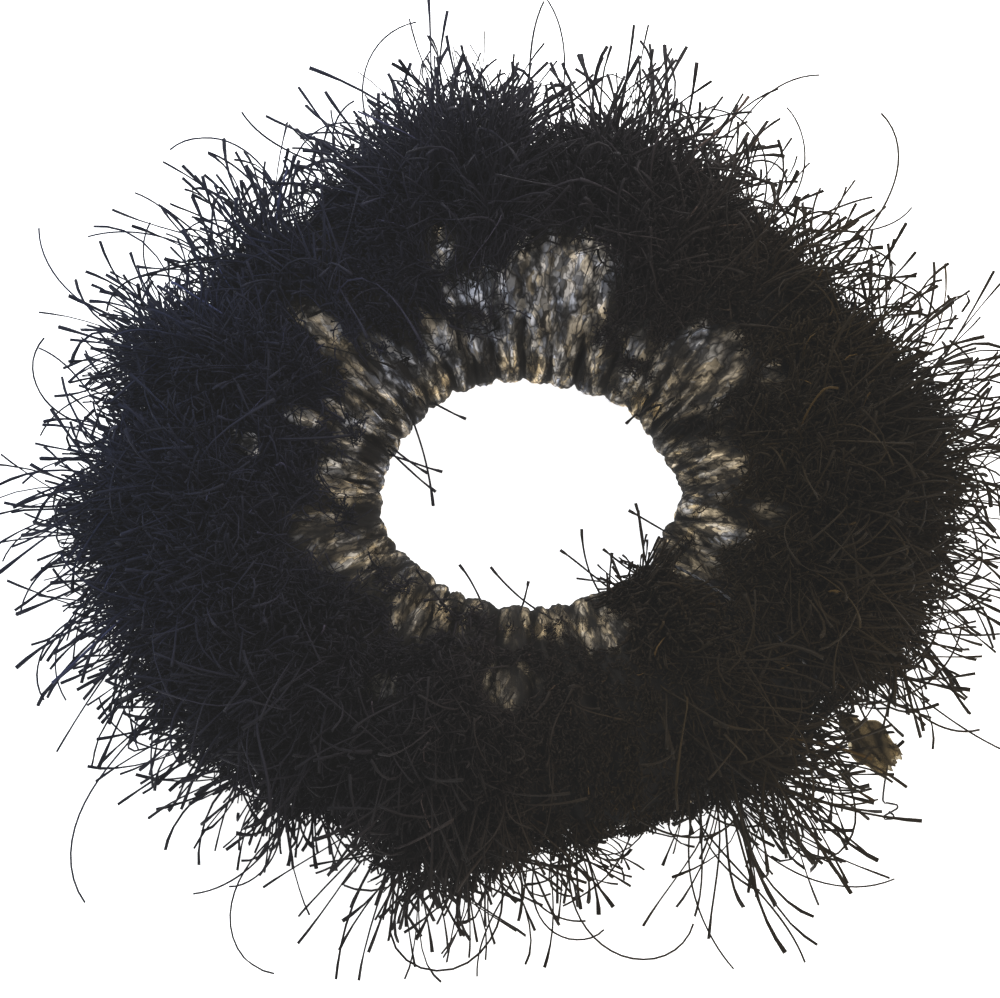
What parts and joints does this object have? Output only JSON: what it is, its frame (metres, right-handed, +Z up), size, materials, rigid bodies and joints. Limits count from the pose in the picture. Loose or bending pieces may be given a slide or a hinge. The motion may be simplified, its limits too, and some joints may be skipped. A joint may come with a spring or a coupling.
{
  "type": "fringed hair ring",
  "caption": "Closed fluffy ring of sheer mesh gathered on elastic and covered in long black eyelash fringe, worn round a ponytail, bun or wrist like a small boa.",
  "frame": {"origin": "middle of the ring's footprint, on the surface that it lies on", "axes": "+Z up through the opening; +X along the oval's long direction; +Y along its short one"},
  "size_m": [0.1584, 0.1498, 0.0406],
  "materials": {
    "fringe": "black eyelash fringe: flat cut polyester lashes, satin",
    "mesh": "sheer black knitted net, crinkled where it is gathered",
    "elastic": "clear polyurethane elastic tape, smooth with a soft sheen",
    "thread": "black twisted polyester sewing thread, slight sheen"
  },
  "bodies": {
    "root": {"elastic_band": "elastic", "elastic_lap_stitch": "thread", "mesh_tube": "mesh", "long_seam_thread": "thread", "closing_seam_thread": "thread", "seam_tab": "mesh", "fringe_row_01": "fringe", "fringe_row_02": "fringe", "fringe_row_03": "fringe", "fringe_row_04": "fringe", "fringe_row_05": "fringe", "fringe_row_06": "fringe", "fringe_row_07": "fringe", "fringe_row_08": "fringe", "fringe_row_09": "fringe", "fringe_row_10": "fringe", "fringe_row_11": "fringe", "fringe_row_12": "fringe", "fringe_row_13": "fringe", "fringe_row_14": "fringe"}
  },
  "joints": []
}
